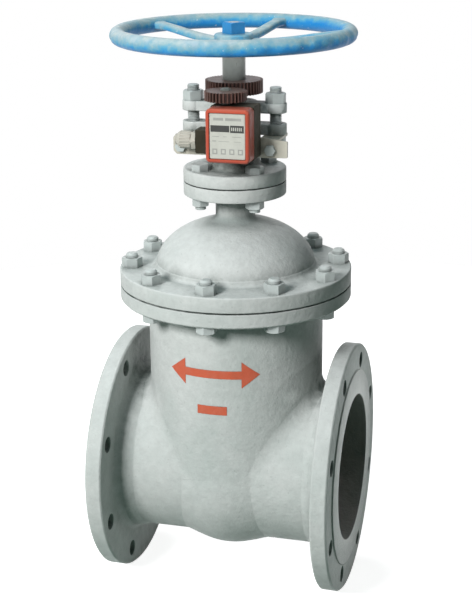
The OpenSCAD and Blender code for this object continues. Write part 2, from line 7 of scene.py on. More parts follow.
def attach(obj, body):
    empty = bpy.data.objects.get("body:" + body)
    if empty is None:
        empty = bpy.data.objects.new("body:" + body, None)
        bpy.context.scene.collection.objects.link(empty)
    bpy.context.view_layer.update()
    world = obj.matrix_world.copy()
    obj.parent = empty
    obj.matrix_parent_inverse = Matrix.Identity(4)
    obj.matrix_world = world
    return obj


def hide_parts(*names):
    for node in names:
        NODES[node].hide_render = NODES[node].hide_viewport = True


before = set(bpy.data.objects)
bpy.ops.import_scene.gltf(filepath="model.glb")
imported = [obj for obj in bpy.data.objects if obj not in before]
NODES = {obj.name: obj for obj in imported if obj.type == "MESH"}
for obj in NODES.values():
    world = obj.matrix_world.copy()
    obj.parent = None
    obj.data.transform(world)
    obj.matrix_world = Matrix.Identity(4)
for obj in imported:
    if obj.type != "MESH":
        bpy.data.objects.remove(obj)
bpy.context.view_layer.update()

STEM_X = 0.165
NECK_R = 0.109
CHAMBER_R = 0.118


def feed(tree, value, socket):
    """Links another node's socket to this one, or sets a plain value on it."""
    if isinstance(value, bpy.types.NodeSocket):
        tree.links.new(value, socket)
    else:
        socket.default_value = value


def maths(tree, operation, *values):
    """A Math node on sockets or plain numbers; returns its result."""
    node = tree.nodes.new("ShaderNodeMath")
    node.operation = operation
    for k, value in enumerate(values):
        feed(tree, value, node.inputs[k])
    return node.outputs["Value"]


def between(tree, value, start, stop):
    """A mask that rises from 0 to 1 as the value goes from start to stop."""
    node = tree.nodes.new("ShaderNodeMapRange")
    node.inputs["From Min"].default_value = start
    node.inputs["From Max"].default_value = stop
    tree.links.new(value, node.inputs["Value"])
    return node.outputs["Result"]


def tint(tree, factor, under, colour):
    """Mixes a colour over another by a factor; under is a socket or a colour."""
    node = tree.nodes.new("ShaderNodeMix")
    node.data_type = "RGBA"
    tree.links.new(factor, node.inputs["Factor"])
    feed(tree, (*under, 1) if isinstance(under, tuple) else under, node.inputs["A"])
    node.inputs["B"].default_value = (*colour, 1)
    return node.outputs["Result"]


def noise(tree, scale, detail, roughness):
    """Noise on object coordinates; the scale is a number or a socket."""
    node = tree.nodes.new("ShaderNodeTexNoise")
    feed(tree, scale, node.inputs["Scale"])
    node.inputs["Detail"].default_value = detail
    node.inputs["Roughness"].default_value = roughness
    tree.links.new(tree.nodes.new("ShaderNodeTexCoord").outputs["Object"], node.inputs["Vector"])
    return node.outputs["Fac"]


def weather_group():
    """Masks for age and painted shade: blotches from broad noise, mottling from a finer one, painted shade
    and dirt in corners from occlusion times noise, dust where the surface looks up, specks from the peaks
    of noise, and two grains summed for a bump."""
    group = bpy.data.node_groups.new("weather", "ShaderNodeTree")
    for label in ("Scale", "Reach"):
        group.interface.new_socket(label, in_out="INPUT", socket_type="NodeSocketFloat")
    for label in ("Blotch", "Mottle", "Corner", "Upward", "Grain", "Speck"):
        group.interface.new_socket(label, in_out="OUTPUT", socket_type="NodeSocketFloat")
    given = group.nodes.new("NodeGroupInput").outputs
    result = group.nodes.new("NodeGroupOutput").inputs
    nook = group.nodes.new("ShaderNodeAmbientOcclusion")
    nook.samples = 6
    group.links.new(given["Reach"], nook.inputs["Distance"])
    facing = group.nodes.new("ShaderNodeSeparateXYZ")
    group.links.new(group.nodes.new("ShaderNodeNewGeometry").outputs["Normal"], facing.inputs["Vector"])
    # The corner mask is painted shade and dirt: occlusion darkens hollows and creases, broken up by this
    # noise.
    painted_shade = between(group, noise(group, 60.0, 4.0, 0.6), 0.25, 0.6)
    coarse = noise(group, 130.0, 2.0, 0.5)
    fine = noise(group, 380.0, 3.0, 0.6)
    masks = {
        "Blotch": between(group, noise(group, given["Scale"], 6.0, 0.62), 0.44, 0.72),
        "Mottle": between(group, noise(group, 85.0, 8.0, 0.72), 0.36, 0.66),
        "Corner": maths(group, "MULTIPLY", between(group, nook.outputs["AO"], 0.95, 0.35), painted_shade),
        "Upward": between(group, facing.outputs["Z"], 0.1, 0.95),
        "Grain": maths(group, "MULTIPLY_ADD", coarse, 2.2, fine),
        "Speck": between(group, noise(group, 240.0, 2.0, 0.5), 0.68, 0.74),
    }
    for label, mask in masks.items():
        group.links.new(mask, result[label])
    return group


WEATHER = weather_group()
DULLED = 0.6
PATCHY = 0.14


def surface(name, colour, blotch, corner, rough, metal=0.0, upward=None, speck=None,
            amounts=(0.5, 0.6, 0.5, 0.5), scale=9.0, reach=0.02, grain=0.35, depth=0.0006,
            mottle=0.25, shine=0.5):
    """A Principled material whose colour moves to the blotch, upward, dulled, speck and corner colours by
    the weather masks. The amounts are for blotch, corner, upward and speck. The roughness follows the
    mottling."""
    material = bpy.data.materials.new(name)
    material.use_nodes = True
    tree = material.node_tree
    shader = tree.nodes["Principled BSDF"].inputs
    shader["Metallic"].default_value = metal
    shader["Specular IOR Level"].default_value = shine
    weather = tree.nodes.new("ShaderNodeGroup")
    weather.name = "weather"
    weather.node_tree = WEATHER
    weather.inputs["Scale"].default_value = scale
    weather.inputs["Reach"].default_value = reach
    mask = weather.outputs
    patchy = maths(tree, "MULTIPLY_ADD", mask["Mottle"], PATCHY, rough - PATCHY / 2)
    tree.links.new(patchy, shader["Roughness"])
    dull = tuple(DULLED * c for c in colour)
    layers = [("Blotch", blotch, amounts[0]), ("Upward", upward, amounts[2]), ("Mottle", dull, mottle),
              ("Speck", speck, amounts[3]), ("Corner", corner, amounts[1])]
    paint = colour
    for key, layer, amount in layers:
        if layer is not None:
            paint = tint(tree, maths(tree, "MULTIPLY", mask[key], amount), paint, layer)
    tree.links.new(paint, shader["Base Color"])
    if grain:
        bump = tree.nodes.new("ShaderNodeBump")
        bump.inputs["Strength"].default_value = grain
        bump.inputs["Distance"].default_value = depth
        tree.links.new(mask["Grain"], bump.inputs["Height"])
        tree.links.new(bump.outputs["Normal"], shader["Normal"])
    return material


def paint_over(material, mask, amount, colour):
    """Lays a colour over a material's own, by a mask times an amount."""
    tree = material.node_tree
    socket = tree.nodes["Principled BSDF"].inputs["Base Color"]
    factor = maths(tree, "MULTIPLY", mask, amount)
    tree.links.new(tint(tree, factor, socket.links[0].from_socket, colour), socket)


def repaint(material, name):
    """A copy of a material under a new name, and its node tree."""
    copy = material.copy()
    copy.name = name
    return copy, copy.node_tree


def position(tree):
    """Sockets with the X, Y and Z of the point, in object coordinates."""
    split = tree.nodes.new("ShaderNodeSeparateXYZ")
    tree.links.new(tree.nodes.new("ShaderNodeTexCoord").outputs["Object"], split.inputs["Vector"])
    return split.outputs


def hypotenuse(tree, a, b):
    """The square root of the sum of two squares."""
    return maths(tree, "SQRT", maths(tree, "MULTIPLY_ADD", a, a, maths(tree, "MULTIPLY", b, b)))


def dress(material, slot, *names):
    """Gives CAD nodes a material; the slot argument is not used."""
    for k in names:
        NODES[k].data.materials.clear()
        NODES[k].data.materials.append(material)


# Grey enamel: its dark corner colour lays painted shade and dirt into corners and creases.
GREY = surface("grey_enamel", (0.545, 0.563, 0.55), (0.385, 0.43, 0.41), (0.042, 0.065, 0.054), 0.47,
               upward=(0.57, 0.60, 0.59), speck=(0.30, 0.33, 0.31), amounts=(0.75, 0.9, 0.6, 0.4),
               reach=0.03, grain=0.5, depth=0.0007, mottle=0.3, shine=0.15)
EDGE_RADIUS = 0.0018
tree = GREY.node_tree
rounded = tree.nodes.new("ShaderNodeBevel")
rounded.samples = 6
rounded.inputs["Radius"].default_value = EDGE_RADIUS
tree.links.new(rounded.outputs["Normal"], tree.nodes["Bump"].inputs["Normal"])
turn = tree.nodes.new("ShaderNodeVectorMath")
turn.operation = "DOT_PRODUCT"
tree.links.new(rounded.outputs["Normal"], turn.inputs[0])
tree.links.new(tree.nodes.new("ShaderNodeNewGeometry").outputs["Normal"], turn.inputs[1])
# Painted highlight and wear: the rounded edges are painted lighter in patches.
at_edge = between(tree, turn.outputs["Value"], 0.985, 0.87)
edge_wear_and_highlight = maths(tree, "MULTIPLY", at_edge, tree.nodes["weather"].outputs["Mottle"])
paint_over(GREY, edge_wear_and_highlight, 0.6, (0.66, 0.67, 0.65))

RAISED_FACE = (0.1636, 0.1644)
FLANGE_FACE = (0.1616, 0.1626)
RAISED_RIM = (0.1335, 0.1345)
BORE_WALL = (0.1012, 0.1002)
GROOVE_PITCH = 0.0016
body_paint, tree = repaint(GREY, "grey_enamel_body")
point = position(tree)
radius = hypotenuse(tree, point["Y"], point["Z"])
far_out = maths(tree, "ABSOLUTE", maths(tree, "SUBTRACT", point["X"], STEM_X))
turned = between(tree, far_out, *RAISED_FACE)
outer = maths(tree, "MULTIPLY", between(tree, far_out, *FLANGE_FACE), between(tree, radius, *RAISED_RIM))
inside = between(tree, radius, *BORE_WALL)
stained = maths(tree, "MULTIPLY", inside, tree.nodes["weather"].outputs["Blotch"])
paint_over(body_paint, outer, 0.4, (0.31, 0.375, 0.35))
paint_over(body_paint, turned, 0.5, (0.58, 0.59, 0.58))
# Painted shade: the bore's wall is painted dark, its own darker tone deepened as shade; lighter stains lie on
# it in blotches.
paint_over(body_paint, inside, 1.0, (0.22, 0.224, 0.215))
paint_over(body_paint, stained, 1.0, (0.33, 0.31, 0.30))
grooves = tree.nodes.new("ShaderNodeBump")
grooves.inputs["Strength"].default_value = 0.5
grooves.inputs["Distance"].default_value = 0.0003
wave = maths(tree, "SINE", maths(tree, "MULTIPLY", radius, 2 * math.pi / GROOVE_PITCH))
tree.links.new(maths(tree, "MULTIPLY", wave, turned), grooves.inputs["Height"])
normal = tree.nodes["Principled BSDF"].inputs["Normal"]
tree.links.new(normal.links[0].from_socket, grooves.inputs["Normal"])
tree.links.new(grooves.outputs["Normal"], normal)
dress(body_paint, "grey_paint", "body")


def add_mesh(name, verts, faces, material, body, sharp=35.0, replaces=()):
    """A piece from vertex and face arrays, smooth up to the given angle, riding on a CAD body."""
    mesh = bpy.data.meshes.new(name)
    points = np.asarray(verts, float).reshape(-1, 3)
    mesh.from_pydata(points.tolist(), [], [list(map(int, f)) for f in faces])
    mesh.polygons.foreach_set("use_smooth", np.ones(len(mesh.polygons), bool))
    mesh.set_sharp_from_angle(angle=math.radians(sharp))
    mesh.materials.append(material)
    mesh.update()
    piece = bpy.data.objects.new(name, mesh)
    bpy.context.collection.objects.link(piece)
    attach(piece, body)
    if replaces:
        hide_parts(*replaces)
    return piece


def grid_faces(rows, cols, wrap_rows=False, wrap_cols=False, start=0):
    """Quads of a rows by cols grid of vertices, closed round either way if asked."""
    i = np.arange(rows if wrap_rows else rows - 1)
    j = np.arange(cols if wrap_cols else cols - 1)
    a, b = np.meshgrid(i, j, indexing="ij")
    c, d = (a + 1) % rows, (b + 1) % cols
    return (np.stack([a * cols + b, c * cols + b, c * cols + d, a * cols + d], -1) + start).reshape(-1, 4)


BELLY_R = 0.105
BELLY_RISE = 0.014
BELLY_HALF = 0.062
BELLY_DROP = 0.003
FILLET = 0.021
TINY = 1e-9


def body_field(p):
    """Signed distance to the necks with their belly, and to the chamber, joined by a smooth minimum whose
    width grows as the two surfaces turn from each other."""
    x, y, z = p[..., 0], p[..., 1], p[..., 2]
    swell = (1 + np.cos(np.pi * np.clip(x / BELLY_HALF, -1, 1))) / 2
    belly = BELLY_R + BELLY_RISE * swell ** 0.6
    round_pipe, round_stem = np.hypot(y, z) + TINY, np.hypot(x, y) + TINY
    necks = np.minimum(round_pipe - NECK_R, np.hypot(y, z + BELLY_DROP) - belly)
    chamber = round_stem - CHAMBER_R
    width = FILLET * (1 - (y * y / (round_pipe * round_stem)) ** 2) + 1e-6
    near = np.maximum(width - np.abs(necks - chamber), 0) / width
    return np.minimum(necks, chamber) - near * near * width / 4


def unit(v):
    """Each row divided by its length."""
    return v / np.linalg.norm(v, axis=1, keepdims=True)


FILLET_ROWS, FILLET_COLS = 200, 30
FILLET_HALF = 0.026
SUNK = 0.0002


def body_fillet(side):
    """The cast fillet between chamber and neck: over the crease of the two cylinders, each grid point is
    pushed along the mean of their normals to the joined surface, a hair under it so that the margins sink
    in."""
    t = np.linspace(np.radians(3), np.radians(177), FILLET_ROWS)
    y, z = -NECK_R * np.cos(t), NECK_R * np.sin(t)
    crease = np.stack([side * np.sqrt(z * z + CHAMBER_R ** 2 - NECK_R ** 2), y, z], -1)
    out = unit(np.stack([0 * y, y, z], -1) / NECK_R + crease * (1, 1, 0) / CHAMBER_R)
    across = unit(np.cross(unit(np.gradient(crease, axis=0)), out))
    reach = np.linspace(-FILLET_HALF, FILLET_HALF, FILLET_COLS)
    p = crease[:, None] + reach[None, :, None] * across[:, None]
    low, high = np.full(p.shape[:2], -0.045), np.full(p.shape[:2], 0.05)
    for _ in range(40):
        middle = (low + high) / 2
        under = body_field(p + middle[..., None] * out[:, None]) < -SUNK
        low, high = np.where(under, middle, low), np.where(under, high, middle)
    return (p + low[..., None] * out[:, None] + (STEM_X, 0, 0)).reshape(-1, 3)


left_faces = grid_faces(FILLET_ROWS, FILLET_COLS)
right_faces = grid_faces(FILLET_ROWS, FILLET_COLS, start=FILLET_ROWS * FILLET_COLS)[:, ::-1]
verts = np.concatenate([body_fillet(-1), body_fillet(1)])
faces = np.concatenate([left_faces, right_faces])
add_mesh("body_fillets", verts, faces, GREY, "valve")

# Painted mark: a two-way flow arrow over a bar, brushed in red through a stencil on the front of the chamber.
# The paint is a thin film that follows the chamber's round.
STENCIL = surface("stencil_red", (0.50, 0.095, 0.045), (0.44, 0.12, 0.07), (0.30, 0.06, 0.03), 0.5,
                  amounts=(0.7, 0.4, 0.5, 0.5), scale=60.0, grain=0.2)
AXIS = 165
FILM_R = 118.4
ARROW_Z, BAR_Z = 163, 113
SHAFT, POINT = 38, 60
SHAFT_HALF, BARB_HALF, TIP_HALF = 5.5, 18, 0.05
BAR_LEFT, BAR_RIGHT, BAR_HALF = -21, 19, 6.0


def painted(strips):
    """Strips of paint on the chamber, each a run of x with half heights about a height z, wrapped on its
    cylinder; sizes in millimetres."""
    vs, fs, base = [], [], 0
    for x, half, z in strips:
        x, half = np.broadcast_arrays(x, half)
        y = -np.sqrt(FILM_R ** 2 - x ** 2)
        ends = [np.stack([AXIS + x, y, z - half], -1), np.stack([AXIS + x, y, z + half], -1)]
        vs.append(np.stack(ends, 1).reshape(-1, 3))
        fs.append(grid_faces(len(x), 2, start=base))
        base += 2 * len(x)
    return np.concatenate(vs) / 1000, np.concatenate(fs)


verts, faces = painted([(np.linspace(-POINT, -SHAFT, 12), np.linspace(TIP_HALF, BARB_HALF, 12), ARROW_Z),
                        (np.linspace(-SHAFT, SHAFT, 32), SHAFT_HALF, ARROW_Z),
                        (np.linspace(SHAFT, POINT, 12), np.linspace(BARB_HALF, TIP_HALF, 12), ARROW_Z),
                        (np.linspace(BAR_LEFT, BAR_RIGHT, 20), BAR_HALF, BAR_Z)])
add_mesh("flow_mark", verts, faces, STENCIL, "valve")

# Seat rings and the gate's screw nut are turned brass, pressed in. The gate is a bare iron casting, dull with
# a brown film. They show only through the bore.
BRASS = surface("dull_brass", (0.40, 0.30, 0.14), (0.20, 0.15, 0.08), (0.05, 0.04, 0.02), 0.36, 0.9,
                depth=0.0002)
dress(BRASS, "seat_brass", "seat_rings", "gate_nut")
IRON = surface("bare_iron", (0.11, 0.11, 0.105), (0.12, 0.06, 0.035), (0.03, 0.03, 0.03), 0.62, 0.4)
dress(IRON, "bare_iron", "gate")

# Gaskets: rings of black sheet rubber, squeezed between the flanges and set back a little from the edge.
# The clamped faces hide all but a thin dark line.
RUBBER = surface("gasket_rubber", (0.016, 0.017, 0.016), (0.04, 0.04, 0.037), (0.01, 0.01, 0.01), 0.75)
dress(RUBBER, "gasket", "bonnet_gasket", "throat_gasket")

# Bonnet: iron casting, a round flange, a low dome and a throat up to a small flange, with cast fillets at
# each change. It is turned on the faces only and painted with the body, with a painted shadow of the small
# flange as a dark ring at the throat's foot.
DOME_R, DOME_RISE, DOME_Z = 107, 66, 279
DOME_WALL = 10
THROAT_R = 26
THROAT_SHADOW_LOW, THROAT_SHADOW_HIGH = (0.335, 0.344), (0.355, 0.347)


def arc(r, z, size, start, stop, count=7):
    """Points on a circle round (r, z), from one angle to another in degrees."""
    a = np.radians(np.linspace(start, stop, count))
    return np.stack([r + size * np.cos(a), z + size * np.sin(a)], -1)


def bend(p, q, s, count=9):
    """Points on the parabola from p to s that leaves towards q and comes in from it."""
    t = np.linspace(0, 1, count)[:, None]
    return (1 - t) ** 2 * np.array(p) + 2 * t * (1 - t) * np.array(q) + t * t * np.array(s)


def lathe(line, turns=160):
    """Vertices and quads of a closed outline of radius and height, in millimetres, turned about the stem."""
    a = np.linspace(0, 2 * np.pi, turns, endpoint=False)[:, None]
    line = np.asarray(line) / 1000
    v = np.stack([STEM_X + line[:, 0] * np.cos(a), line[:, 0] * np.sin(a), 0 * a + line[:, 1]], -1)
    return v.reshape(-1, 3), grid_faces(turns, len(line), True, True)


t = np.radians(np.linspace(6.1, 71.8, 40))
outside = np.stack([DOME_R * np.cos(t), DOME_Z + DOME_RISE * np.sin(t)], -1)
t = np.radians(np.linspace(80, 0, 24))
within = np.stack([(DOME_R - DOME_WALL) * np.cos(t), DOME_Z + (DOME_RISE - DOME_WALL) * np.sin(t)], -1)
flange_line = [[(100, 259), (154.7, 259)], arc(154.7, 259.8, 0.8, -90, 0, 4), arc(153.5, 277, 2, 0, 90)]
dome_line = [arc(115, 287, 8, 270, 180, 9)[:-1], outside]
throat_line = [bend(outside[-1], (THROAT_R, 344.2), (THROAT_R, 350))[1:],
               bend((THROAT_R, 369), (THROAT_R, 378), (35, 378))]
top_line = [arc(66.5, 379.5, 1.5, -90, 0, 5), arc(67.2, 394.2, 0.8, 0, 90, 4)]
hollow_line = [[(24.5, 395), (24.5, 390.2), (16.6, 390.2)], within]
verts, faces = lathe(np.concatenate(flange_line + dome_line + throat_line + top_line + hollow_line))
bonnet_paint, tree = repaint(GREY, "grey_enamel_bonnet")
height = position(tree)["Z"]
# Painted shadow: a dark ring on the dome at the throat's foot, where the small flange's shadow falls.
painted_shade = maths(tree, "MULTIPLY", between(tree, height, *THROAT_SHADOW_LOW), between(tree, height, *THROAT_SHADOW_HIGH))
paint_over(bonnet_paint, painted_shade, 0.6, (0.13, 0.165, 0.155))
add_mesh("bonnet_casting", verts, faces, bonnet_paint, "valve", 40, ["bonnet"])

# Bonnet bolts, foot bolts and nuts: forged hexagons with rolled threads, screwed up through the flanges.
# They are of plated steel, dulled by weather, with painted shade and dirt in the corners.
ZINC = surface("dull_plate", (0.47, 0.51, 0.50), (0.36, 0.39, 0.38), (0.06, 0.065, 0.06), 0.42, 0.15,
               upward=(0.55, 0.58, 0.57), amounts=(0.6, 0.8, 0.4, 0.5), scale=45.0, reach=0.01, depth=0.0002)
dress(ZINC, "zinc_steel", "bonnet_bolts", "bonnet_nuts", "foot_bolts", "foot_nuts")
BOLT_CIRCLE, FOOT_CIRCLE = 139, 52
PITCH = 2.0
STEPS, ROUNDS = 6, 28
END_SIZE, END_RISE = 0.88, 0.3


def thread(place, r, bottom, top, depth):
    """A screw thread as a tube: the radius is a triangle wave of height less turn, in pitches, and the ends
    taper in; sizes in millimetres."""
    z = np.linspace(bottom, top, max(int((top - bottom) / PITCH * STEPS), STEPS))[:, None]
    a = np.linspace(0, 2 * np.pi, ROUNDS, endpoint=False)
    wave = np.abs(((z / PITCH - a / (2 * np.pi)) % 1) * 2 - 1)
    taper = np.clip(np.minimum(z - bottom, top - z) / PITCH * END_RISE + END_SIZE, 0, 1)
    rr = (r - depth * wave) * taper
    v = np.stack([place[0] + rr * np.cos(a), place[1] + rr * np.sin(a), z + 0 * a], -1) / 1000
    return v.reshape(-1, 3), len(z)


def thread_set(name, specs, replaces=()):
    """Several threads as one piece, each closed by a flat face at both ends."""
    vs, fs, base = [], [], 0
    around = np.arange(ROUNDS)
    for spec in specs:
        v, rows = thread(*spec)
        vs.append(v)
        fs += [list(f + base) for f in grid_faces(rows, ROUNDS, False, True)[:, ::-1]]
        fs += [list(base + (rows - 1) * ROUNDS + around), list(base + around[::-1])]
        base += len(v)
    return add_mesh(name, np.concatenate(vs), fs, ZINC, "valve", 50, replaces)


def circle(r, degrees):
    """Places on a circle about the stem's axis."""
    return [(AXIS + r * math.cos(math.radians(a)), r * math.sin(math.radians(a))) for a in degrees]


ends = [(p, 8.35, 291.6, 296.4, 0.4) for p in circle(BOLT_CIRCLE, range(18, 360, 36))]
ends += [(p, 7.3, 361.6, 367.2, 0.35) for p in circle(FOOT_CIRCLE, (45, 135, 225, 315))]
thread_set("bolt_ends", ends)

# Stuffing box and gland: two more castings. The box carries the lugs for the gland studs, and the eared
# gland is drawn down by two nuts. The neck under the signal box is painted dark in patches, a painted shadow
# of the box.
NECK_SHADOW_REACH, NECK_SHADOW_TOP = (0.058, 0.036), (0.450, 0.432)
STUD_OFF = 55.5
neck_shadow_paint, tree = repaint(GREY, "grey_enamel_neck_shadow")
point = position(tree)
radius = hypotenuse(tree, maths(tree, "SUBTRACT", point["X"], STEM_X), point["Y"])
# Painted shadow: the neck just under the signal box is painted dark, broken into patches.
under_box_shadow = maths(tree, "MULTIPLY", between(tree, radius, *NECK_SHADOW_REACH), between(tree, point["Z"], *NECK_SHADOW_TOP))
patches = maths(tree, "MULTIPLY_ADD", tree.nodes["weather"].outputs["Mottle"], 0.35, 0.5)
paint_over(neck_shadow_paint, maths(tree, "MULTIPLY", under_box_shadow, patches), 1.0, (0.05, 0.056, 0.048))
dress(neck_shadow_paint, "grey_paint", "stuffing_box")
dress(GREY, "grey_paint", "gland")


def soften(width, *names):
    """Rounds the sharp edges of CAD nodes as casting, rolling or plating leaves them."""
    for k in names:
        weld = NODES[k].modifiers.new("weld", "WELD")
        weld.merge_threshold = 2e-6
        bevel = NODES[k].modifiers.new("edge", "BEVEL")
        bevel.width = width
        bevel.segments = 2
        bevel.limit_method = "ANGLE"
        bevel.angle_limit = math.radians(38)
        bevel.harden_normals = True


soften(0.0012, "stuffing_box", "gland")
studs = [((AXIS + side * STUD_OFF, 0), 8.0, 438.5, 519.8, 0.9) for side in (-1, 1)]
thread_set("stud_threads", studs, ["gland_studs"])
dress(ZINC, "zinc_steel", "gland_nuts")

# Bracket: two bent clips under the lugs and a flat back plate with ears, held with two small bolts.
# They are of sheet steel in worn beige paint.
SHEET = surface("beige_sheet", (0.53, 0.505, 0.43), (0.43, 0.41, 0.35), (0.10, 0.09, 0.07), 0.45, 0.15,
                amounts=(0.5, 0.7, 0.5, 0.5), scale=30.0, depth=0.0002)
dress(SHEET, "bracket_sheet", "bracket_clips", "signal_backplate")
dress(ZINC, "zinc_steel", "bracket_bolts", "bracket_nuts")
soften(0.0008, "bracket_clips", "signal_backplate")

# Signal box: a cast housing in dark olive enamel with a connection box at the left, closed in front by
# a deep red moulded cover that frames a white plate.
DARK = surface("housing_enamel", (0.030, 0.027, 0.018), (0.045, 0.040, 0.027), (0.012, 0.011, 0.008), 0.68,
               upward=(0.075, 0.07, 0.055), amounts=(0.6, 0.6, 0.4, 0.5), scale=40.0, shine=0.2)
dress(DARK, "housing_dark", "signal_housing")
soften(0.0018, "signal_housing")
RED = surface("cover_red", (0.43, 0.072, 0.042), (0.37, 0.09, 0.052), (0.09, 0.02, 0.015), 0.38,
              upward=(0.43, 0.12, 0.075), amounts=(0.5, 0.6, 0.5, 0.5), scale=40.0, grain=0.12, shine=0.3)
FRONT, SEAM = -101.0, -77.0


def rounded_frame(x0, x1, z0, z1, radius, line):
    """Rings of a rounded rectangle facing the front, one for each (inset, y) of the outline, closed at both
    ends; sizes in millimetres."""
    quarter = np.radians(np.linspace(0, 90, 8))
    corners = [(x1, z1, 1, 1), (x0, z1, -1, 1), (x0, z0, -1, -1), (x1, z0, 1, -1)]
    rings = []
    for inset, y in line:
        r = max(radius - inset, 0.4)
        points = []
        for k, (cx, cz, sx, sz) in enumerate(corners):
            a = quarter + k * np.pi / 2
            x = cx - sx * (inset + r) + r * np.cos(a)
            z = cz - sz * (inset + r) + r * np.sin(a)
            points.append(np.stack([x, 0 * a + y, z], -1))
        rings.append(np.concatenate(points))
    v = np.stack(rings) / 1000
    rows, cols = v.shape[:2]
    faces = [list(f) for f in grid_faces(rows, cols, False, True)]
    faces += [list((rows - 1) * cols + np.arange(cols)), list(np.arange(cols)[::-1])]
    return v.reshape(-1, 3), faces


edge = arc(4, FRONT + 4, 4, 180, 270, 7)
lip = arc(4.4, FRONT + 0.6, 0.6, 270, 360, 4)
cover_line = np.concatenate([[(0.3, SEAM), (0.0, SEAM - 0.6)], edge, lip, [(5, FRONT + 3)]])
verts, faces = rounded_frame(155.0, 212.0, 438.0, 506.0, 6.0, cover_line)
add_mesh("cover_shell", verts, faces, RED, "valve", 40, ["signal_cover"])

# Plate: a white printed sheet let into the cover, with two dark windows, ticks in one, plain bars and a row
# of small squares. The print lies a hair proud of the sheet.
WHITE = surface("plate_white", (0.49, 0.49, 0.445), (0.44, 0.43, 0.385), (0.30, 0.28, 0.24), 0.42,
                amounts=(0.5, 0.4, 0.5, 0.5), scale=60.0, grain=0.0)
INK = surface("plate_ink", (0.035, 0.036, 0.034), (0.06, 0.06, 0.055), (0.03, 0.03, 0.03), 0.5, grain=0.0)
FAINT = surface("plate_grey", (0.30, 0.30, 0.28), (0.36, 0.36, 0.33), (0.2, 0.2, 0.2), 0.5, grain=0.0)
sheet_line = [(0, FRONT + 3), (0, FRONT + 1.9), (0.5, FRONT + 1.5)]
verts, faces = rounded_frame(160.6, 206.4, 443.6, 500.4, 1.6, sheet_line)
add_mesh("label_sheet", verts, faces, WHITE, "valve", 40, ["label_plate"])


def marks(name, rects, material, y):
    """Flat printed rectangles (left, bottom, width, height) on the plate, in millimetres."""
    x, z, w, h = np.asarray(rects, float).T
    corners = [np.stack([a, 0 * x + y, b], -1) for a, b in ((x, z), (x + w, z), (x + w, z + h), (x, z + h))]
    faces = np.arange(4 * len(rects)).reshape(-1, 4)
    return add_mesh(name, np.stack(corners, 1) / 1000, faces, material, "valve")


windows = [(162.0, 477.6, 24.2, 8.2), (187.2, 477.0, 17.6, 9.2)]
bars = [(165.5, 491.8, 13.0, 3.4), (181.0, 491.8, 20.5, 3.4)]
squares = [(164 + 11 * i, 449.5, 6.5, 7.0) for i in range(4)]
upper_lines = [(164, 471.5, 9, 0.7), (178, 471.5, 5, 0.7), (190, 471.5, 11, 0.7)]
lower_lines = [(164, 465.5, 5, 1.2), (172, 465.5, 14, 0.6), (192, 465.5, 9, 0.6)]
ticks = [(188.8 + 2.4 * i, 479.5, 1.2, 4.2) for i in range(6)]
centres = [(165.5 + 11 * i, 451.0, 3.5, 4.0) for i in range(4)]
marks("window_marks", windows, INK, FRONT + 1.42)
marks("bar_marks", bars + squares + upper_lines + lower_lines, FAINT, FRONT + 1.40)
marks("window_ticks", ticks + centres, WHITE, FRONT + 1.36)

# Cable gland: a brass nipple with a hexagon foot and a ribbed clamping cap, screwed into the connection box.
# A beige coat hides the metal, and the bore is open at the outer end.
BEIGE = surface("gland_coat", (0.46, 0.44, 0.385), (0.40, 0.38, 0.325), (0.06, 0.055, 0.045), 0.42,
                amounts=(0.5, 0.9, 0.5, 0.5), scale=50.0, reach=0.004, grain=0.1)
FOOT_R = 12.5
GLAND_X, GLAND_Y, GLAND_Z = 133, -61, 458.5
TURNS = 192
foot = [(0, 4), (0, 12.0), (0.8, FOOT_R), (6.2, FOOT_R), (7, 12.0), (7, 11.0), (8.2, 11.0)]
cap = [(9, 11.5), (20, 11.5), (21.2, 11.5), (22, 11.2), (24.5, 9.6), (26, 8.0), (26, 7.0)]
mouth = [(28.4, 7.0), (29, 6.4), (29, 2.6), (21, 2.5), (21, 0.01)]
reach, size = np.array(foot + cap + mouth, float).T[:, :, None]
a = np.linspace(0, 2 * np.pi, TURNS, endpoint=False)
hexagon = math.cos(math.pi / 6) / np.cos((a + math.pi / 6) % (math.pi / 3) - math.pi / 6)
ribs = 0.9 * (0.5 - 0.5 * np.cos(16 * a)) ** 2
on_foot = (reach > 0) & (reach < 6.9) & (size > 11)
on_cap = (reach > 8.5) & (reach < 20.5)
r = np.where(on_foot, np.minimum(size, FOOT_R * hexagon), size - np.where(on_cap, ribs, 0))
verts = np.stack([GLAND_X - reach + 0 * a, GLAND_Y + r * np.sin(a), GLAND_Z + r * np.cos(a)], -1) / 1000
faces = grid_faces(len(reach), TURNS, False, True)
add_mesh("cable_nipple", verts, faces, BEIGE, "valve", 40, ["cable_gland"])

# Stem: turned steel bar through the gland. It turns and doesn't rise.
# The shaft of the signal gear is the same stock.
STEEL = surface("turned_steel", (0.24, 0.26, 0.245), (0.17, 0.185, 0.17), (0.05, 0.05, 0.045), 0.34, 0.3,
                amounts=(0.6, 0.7, 0.5, 0.5), scale=30.0, depth=0.0001)
dress(STEEL, "stem_steel", "stem", "signal_shaft")

# Gears: a spur gear keyed on the stem and one on the signal box, with involute teeth.
# They are cut from metal blanks and dipped in brown enamel.
GEAR = surface("gear_enamel", (0.095, 0.045, 0.036), (0.06, 0.038, 0.031), (0.014, 0.011, 0.009), 0.42, 0.1,
               upward=(0.15, 0.10, 0.085), amounts=(0.6, 0.8, 0.7, 0.5), scale=50.0, reach=0.006)
dress(GEAR, "gear_brown", "stem_gear", "signal_gear")

